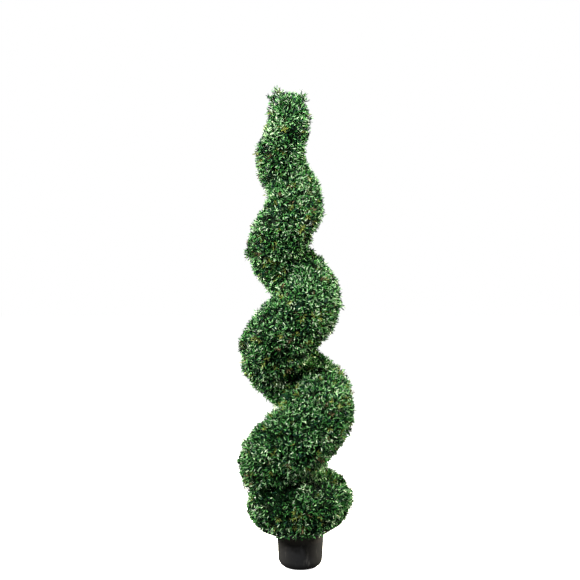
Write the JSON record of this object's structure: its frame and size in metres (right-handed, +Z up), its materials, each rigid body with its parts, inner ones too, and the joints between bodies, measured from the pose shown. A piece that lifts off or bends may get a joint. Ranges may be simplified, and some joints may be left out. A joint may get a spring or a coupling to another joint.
{
  "type": "artificial boxwood spiral topiary in a pot",
  "caption": "Artificial clipped evergreen spiral topiary: a fat foliage coil climbing a leaning pole in a plain round pot.",
  "frame": {"origin": "centre of the pot's flat underside", "axes": "+Z up; the front, as pictured, faces -Y, and +X is to the viewer's right"},
  "size_m": [0.4367, 0.4344, 1.7997],
  "materials": {
    "pot": "matte black moulded plastic",
    "pot_fill": "rough cast cement",
    "trunk": "dark painted tube",
    "base_tray": "smooth black plastic",
    "foliage": "satin green plastic leaves"
  },
  "bodies": {
    "root": {"pot": "pot", "pot_fill": "pot_fill", "trunk": "trunk", "base_tray": "base_tray", "foliage_base": "foliage", "foliage_coil_1": "foliage", "foliage_coil_2": "foliage", "foliage_coil_3": "foliage", "foliage_coil_4": "foliage", "foliage_coil_5": "foliage", "foliage_coil_6": "foliage", "foliage_coil_7": "foliage", "foliage_top": "foliage"}
  },
  "joints": []
}
